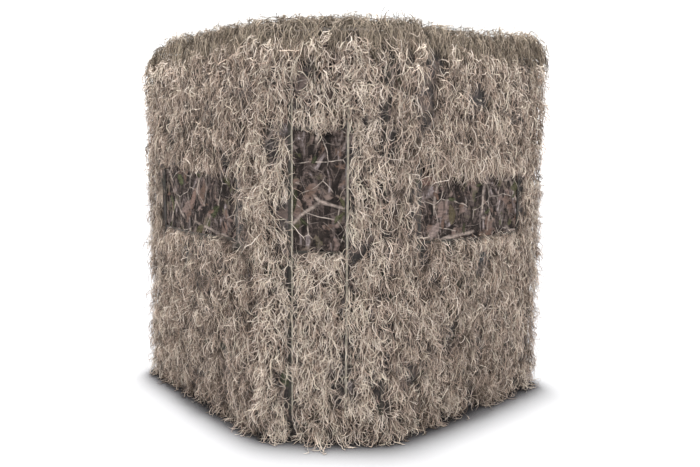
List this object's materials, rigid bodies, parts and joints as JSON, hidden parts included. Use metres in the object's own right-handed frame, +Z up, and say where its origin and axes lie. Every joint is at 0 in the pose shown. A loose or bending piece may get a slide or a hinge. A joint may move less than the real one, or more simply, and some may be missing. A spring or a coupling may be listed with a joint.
{
  "type": "pop up ground blind",
  "caption": "Hub-style pop-up ground blind: square fabric shelter with a cut-off zipped door corner, netted windows with fold-down covers and a shaggy dry-grass skin.",
  "frame": {"origin": "centre of the square plan, on the ground", "axes": "+Z up; the cut-off door corner faces -X -Y; walls are square to X and Y"},
  "size_m": [1.712, 1.712, 2.0043],
  "materials": {
    "camo_fabric": "woven polyester, leaf and bark print, matt",
    "grass": "dry fibre strands, matt",
    "net": "fine dark net",
    "cover_fabric": "woven polyester, leaf and bark print, matt",
    "hub_metal": "black cast metal",
    "cap_plastic": "moulded, satin",
    "rod_fibreglass": "pultruded rod with steel ferrule",
    "socket_plastic": "moulded, matt",
    "webbing": "woven webbing",
    "zip_tape": "woven tape",
    "zip_slider": "black enamel"
  },
  "bodies": {
    "shell": {"roof_fabric": "camo_fabric", "left_front_wall": "camo_fabric", "right_front_wall": "camo_fabric", "left_rear_wall": "camo_fabric", "right_rear_wall": "camo_fabric", "corner_panel": "camo_fabric", "roof_grass": "grass", "left_front_grass": "grass", "right_front_grass": "grass", "left_rear_grass": "grass", "right_rear_grass": "grass", "corner_grass": "grass", "left_front_net": "net", "right_front_net": "net", "left_rear_net": "net", "right_rear_net": "net", "corner_pockets": "socket_plastic", "stake_loops": "webbing", "frame_zip_tape": "zip_tape"},
    "left_front_hub_body": {"left_front_hub": "hub_metal", "left_front_cap": "cap_plastic"},
    "left_front_rod_1_body": {"left_front_rod_1": "rod_fibreglass"},
    "left_front_rod_2_body": {"left_front_rod_2": "rod_fibreglass"},
    "left_front_rod_3_body": {"left_front_rod_3": "rod_fibreglass"},
    "left_front_rod_4_body": {"left_front_rod_4": "rod_fibreglass"},
    "left_front_cover_body": {"left_front_cover": "cover_fabric"},
    "right_front_hub_body": {"right_front_hub": "hub_metal", "right_front_cap": "cap_plastic"},
    "right_front_rod_1_body": {"right_front_rod_1": "rod_fibreglass"},
    "right_front_rod_2_body": {"right_front_rod_2": "rod_fibreglass"},
    "right_front_rod_3_body": {"right_front_rod_3": "rod_fibreglass"},
    "right_front_rod_4_body": {"right_front_rod_4": "rod_fibreglass"},
    "right_front_cover_body": {"right_front_cover": "cover_fabric"},
    "left_rear_hub_body": {"left_rear_hub": "hub_metal", "left_rear_cap": "cap_plastic"},
    "left_rear_rod_1_body": {"left_rear_rod_1": "rod_fibreglass"},
    "left_rear_rod_2_body": {"left_rear_rod_2": "rod_fibreglass"},
    "left_rear_rod_3_body": {"left_rear_rod_3": "rod_fibreglass"},
    "left_rear_rod_4_body": {"left_rear_rod_4": "rod_fibreglass"},
    "left_rear_cover_body": {"left_rear_cover": "cover_fabric"},
    "right_rear_hub_body": {"right_rear_hub": "hub_metal", "right_rear_cap": "cap_plastic"},
    "right_rear_rod_1_body": {"right_rear_rod_1": "rod_fibreglass"},
    "right_rear_rod_2_body": {"right_rear_rod_2": "rod_fibreglass"},
    "right_rear_rod_3_body": {"right_rear_rod_3": "rod_fibreglass"},
    "right_rear_rod_4_body": {"right_rear_rod_4": "rod_fibreglass"},
    "right_rear_cover_body": {"right_rear_cover": "cover_fabric"},
    "roof_hub_body": {"roof_hub": "hub_metal", "roof_cap": "cap_plastic"},
    "roof_rod_1_body": {"roof_rod_1": "rod_fibreglass"},
    "roof_rod_2_body": {"roof_rod_2": "rod_fibreglass"},
    "roof_rod_3_body": {"roof_rod_3": "rod_fibreglass"},
    "roof_rod_4_body": {"roof_rod_4": "rod_fibreglass"},
    "roof_rod_5_body": {"roof_rod_5": "rod_fibreglass"},
    "door": {"door_leaf": "camo_fabric", "door_grass": "grass", "door_net": "net", "door_zip_tape": "zip_tape"},
    "door_cover_body": {"door_cover": "cover_fabric"},
    "zip_slider_body": {"zip_slider": "zip_slider"}
  },
  "joints": [
    {"name": "left_front_hub_pull", "type": "slide", "parent": "shell", "child": "left_front_hub_body", "axis": [-1, 0, 0], "range_m": [-0.1245, 0]},
    {"name": "left_front_rod_1_hinge", "type": "hinge", "parent": "left_front_hub_body", "child": "left_front_rod_1_body", "pos_m": [-0.79025, 0.20796, 0.83349], "axis": [0, -0.8813, 0.4726], "range_deg": [0, 7.39]},
    {"name": "left_front_rod_2_hinge", "type": "hinge", "parent": "left_front_hub_body", "child": "left_front_rod_2_body", "pos_m": [-0.79025, 0.17204, 0.83349], "axis": [0, -0.8813, -0.4726], "range_deg": [0, 7.39]},
    {"name": "left_front_rod_3_hinge", "type": "hinge", "parent": "left_front_hub_body", "child": "left_front_rod_3_body", "pos_m": [-0.79025, 0.16942, 0.76806], "axis": [0, 0.8406, -0.5416], "range_deg": [0, 8.49]},
    {"name": "left_front_rod_4_hinge", "type": "hinge", "parent": "left_front_hub_body", "child": "left_front_rod_4_body", "pos_m": [-0.79025, 0.21058, 0.76806], "axis": [0, 0.8406, 0.5416], "range_deg": [0, 8.49]},
    {"name": "left_front_cover_fold", "type": "hinge", "parent": "left_front_hub_body", "child": "left_front_cover_body", "pos_m": [-0.7495, 0.19, 0.86], "axis": [0, 1, 0], "range_deg": [0, 170]},
    {"name": "right_front_hub_pull", "type": "slide", "parent": "shell", "child": "right_front_hub_body", "axis": [0, -1, 0], "range_m": [-0.1245, 0]},
    {"name": "right_front_rod_1_hinge", "type": "hinge", "parent": "right_front_hub_body", "child": "right_front_rod_1_body", "pos_m": [0.17204, -0.79025, 0.83349], "axis": [0.8813, 0, 0.4726], "range_deg": [0, 7.39]},
    {"name": "right_front_rod_2_hinge", "type": "hinge", "parent": "right_front_hub_body", "child": "right_front_rod_2_body", "pos_m": [0.20796, -0.79025, 0.83349], "axis": [0.8813, 0, -0.4726], "range_deg": [0, 7.39]},
    {"name": "right_front_rod_3_hinge", "type": "hinge", "parent": "right_front_hub_body", "child": "right_front_rod_3_body", "pos_m": [0.21058, -0.79025, 0.76806], "axis": [-0.8406, 0, -0.5416], "range_deg": [0, 8.49]},
    {"name": "right_front_rod_4_hinge", "type": "hinge", "parent": "right_front_hub_body", "child": "right_front_rod_4_body", "pos_m": [0.16942, -0.79025, 0.76806], "axis": [-0.8406, 0, 0.5416], "range_deg": [0, 8.49]},
    {"name": "right_front_cover_fold", "type": "hinge", "parent": "right_front_hub_body", "child": "right_front_cover_body", "pos_m": [0.19, -0.7495, 0.86], "axis": [-1, 0, 0], "range_deg": [0, 170]},
    {"name": "left_rear_hub_pull", "type": "slide", "parent": "shell", "child": "left_rear_hub_body", "axis": [0, 1, 0], "range_m": [-0.1245, 0]},
    {"name": "left_rear_rod_1_hinge", "type": "hinge", "parent": "left_rear_hub_body", "child": "left_rear_rod_1_body", "pos_m": [0.02277, 0.79025, 0.83042], "axis": [-0.8005, 0, 0.5993], "range_deg": [0, 6.7]},
    {"name": "left_rear_rod_2_hinge", "type": "hinge", "parent": "left_rear_hub_body", "child": "left_rear_rod_2_body", "pos_m": [-0.02277, 0.79025, 0.83042], "axis": [-0.8005, 0, -0.5993], "range_deg": [0, 6.7]},
    {"name": "left_rear_rod_3_hinge", "type": "hinge", "parent": "left_rear_hub_body", "child": "left_rear_rod_3_body", "pos_m": [-0.02541, 0.79025, 0.77175], "axis": [0.7435, 0, -0.6687], "range_deg": [0, 7.49]},
    {"name": "left_rear_rod_4_hinge", "type": "hinge", "parent": "left_rear_hub_body", "child": "left_rear_rod_4_body", "pos_m": [0.02541, 0.79025, 0.77175], "axis": [0.7435, 0, 0.6687], "range_deg": [0, 7.49]},
    {"name": "left_rear_cover_fold", "type": "hinge", "parent": "left_rear_hub_body", "child": "left_rear_cover_body", "pos_m": [0, 0.7495, 0.86], "axis": [1, 0, 0], "range_deg": [0, 170]},
    {"name": "right_rear_hub_pull", "type": "slide", "parent": "shell", "child": "right_rear_hub_body", "axis": [1, 0, 0], "range_m": [-0.1245, 0]},
    {"name": "right_rear_rod_1_hinge", "type": "hinge", "parent": "right_rear_hub_body", "child": "right_rear_rod_1_body", "pos_m": [0.79025, -0.02277, 0.83042], "axis": [0, 0.8005, 0.5993], "range_deg": [0, 6.7]},
    {"name": "right_rear_rod_2_hinge", "type": "hinge", "parent": "right_rear_hub_body", "child": "right_rear_rod_2_body", "pos_m": [0.79025, 0.02277, 0.83042], "axis": [0, 0.8005, -0.5993], "range_deg": [0, 6.7]},
    {"name": "right_rear_rod_3_hinge", "type": "hinge", "parent": "right_rear_hub_body", "child": "right_rear_rod_3_body", "pos_m": [0.79025, 0.02541, 0.77175], "axis": [0, -0.7435, -0.6687], "range_deg": [0, 7.49]},
    {"name": "right_rear_rod_4_hinge", "type": "hinge", "parent": "right_rear_hub_body", "child": "right_rear_rod_4_body", "pos_m": [0.79025, -0.02541, 0.77175], "axis": [0, -0.7435, 0.6687], "range_deg": [0, 7.49]},
    {"name": "right_rear_cover_fold", "type": "hinge", "parent": "right_rear_hub_body", "child": "right_rear_cover_body", "pos_m": [0.7495, 0, 0.86], "axis": [0, -1, 0], "range_deg": [0, 170]},
    {"name": "roof_hub_pull", "type": "slide", "parent": "shell", "child": "roof_hub_body", "axis": [0, 0, 1], "range_m": [-0.35427, 0]},
    {"name": "roof_rod_1_hinge", "type": "hinge", "parent": "roof_hub_body", "child": "roof_rod_1_body", "pos_m": [-0.03408, -0.01681, 1.93213], "axis": [-0.4424, 0.8968, 0], "range_deg": [0, 27.37]},
    {"name": "roof_rod_2_hinge", "type": "hinge", "parent": "roof_hub_body", "child": "roof_rod_2_body", "pos_m": [-0.01681, -0.03408, 1.93213], "axis": [-0.8968, 0.4424, 0], "range_deg": [0, 27.37]},
    {"name": "roof_rod_3_hinge", "type": "hinge", "parent": "roof_hub_body", "child": "roof_rod_3_body", "pos_m": [0.02687, -0.02687, 1.93213], "axis": [-0.7071, -0.7071, 0], "range_deg": [0, 21.12]},
    {"name": "roof_rod_4_hinge", "type": "hinge", "parent": "roof_hub_body", "child": "roof_rod_4_body", "pos_m": [0.02687, 0.02687, 1.93213], "axis": [0.7071, -0.7071, 0], "range_deg": [0, 21.12]},
    {"name": "roof_rod_5_hinge", "type": "hinge", "parent": "roof_hub_body", "child": "roof_rod_5_body", "pos_m": [-0.02687, 0.02687, 1.93213], "axis": [0.7071, 0.7071, 0], "range_deg": [0, 21.12]},
    {"name": "door_swing", "type": "hinge", "parent": "shell", "child": "door", "pos_m": [-0.3799, -0.7401, 0.8], "axis": [0, 0, 1], "range_deg": [0, 90]},
    {"name": "door_cover_fold", "type": "hinge", "parent": "door", "child": "door_cover_body", "pos_m": [-0.57004, -0.53652, 0.837], "axis": [-0.7071, 0.7071, 0], "range_deg": [0, 170]},
    {"name": "zip_slide", "type": "slide", "parent": "shell", "child": "zip_slider_body", "axis": [0, 0, 1], "range_m": [-1.38, 0]}
  ],
  "couplings": [
    {"joint": "left_front_rod_1_hinge", "follows": "left_front_hub_pull", "rad_per_m": -1.0215},
    {"joint": "left_front_rod_2_hinge", "follows": "left_front_hub_pull", "rad_per_m": -1.0215},
    {"joint": "left_front_rod_3_hinge", "follows": "left_front_hub_pull", "rad_per_m": -1.1768},
    {"joint": "left_front_rod_4_hinge", "follows": "left_front_hub_pull", "rad_per_m": -1.1768},
    {"joint": "right_front_rod_1_hinge", "follows": "right_front_hub_pull", "rad_per_m": -1.0215},
    {"joint": "right_front_rod_2_hinge", "follows": "right_front_hub_pull", "rad_per_m": -1.0215},
    {"joint": "right_front_rod_3_hinge", "follows": "right_front_hub_pull", "rad_per_m": -1.1768},
    {"joint": "right_front_rod_4_hinge", "follows": "right_front_hub_pull", "rad_per_m": -1.1768},
    {"joint": "left_rear_rod_1_hinge", "follows": "left_rear_hub_pull", "rad_per_m": -0.9249},
    {"joint": "left_rear_rod_2_hinge", "follows": "left_rear_hub_pull", "rad_per_m": -0.9249},
    {"joint": "left_rear_rod_3_hinge", "follows": "left_rear_hub_pull", "rad_per_m": -1.0359},
    {"joint": "left_rear_rod_4_hinge", "follows": "left_rear_hub_pull", "rad_per_m": -1.0359},
    {"joint": "right_rear_rod_1_hinge", "follows": "right_rear_hub_pull", "rad_per_m": -0.9249},
    {"joint": "right_rear_rod_2_hinge", "follows": "right_rear_hub_pull", "rad_per_m": -0.9249},
    {"joint": "right_rear_rod_3_hinge", "follows": "right_rear_hub_pull", "rad_per_m": -1.0359},
    {"joint": "right_rear_rod_4_hinge", "follows": "right_rear_hub_pull", "rad_per_m": -1.0359},
    {"joint": "roof_rod_1_hinge", "follows": "roof_hub_pull", "rad_per_m": -1.3434},
    {"joint": "roof_rod_2_hinge", "follows": "roof_hub_pull", "rad_per_m": -1.3434},
    {"joint": "roof_rod_3_hinge", "follows": "roof_hub_pull", "rad_per_m": -1.0357},
    {"joint": "roof_rod_4_hinge", "follows": "roof_hub_pull", "rad_per_m": -1.0357},
    {"joint": "roof_rod_5_hinge", "follows": "roof_hub_pull", "rad_per_m": -1.0357}
  ]
}
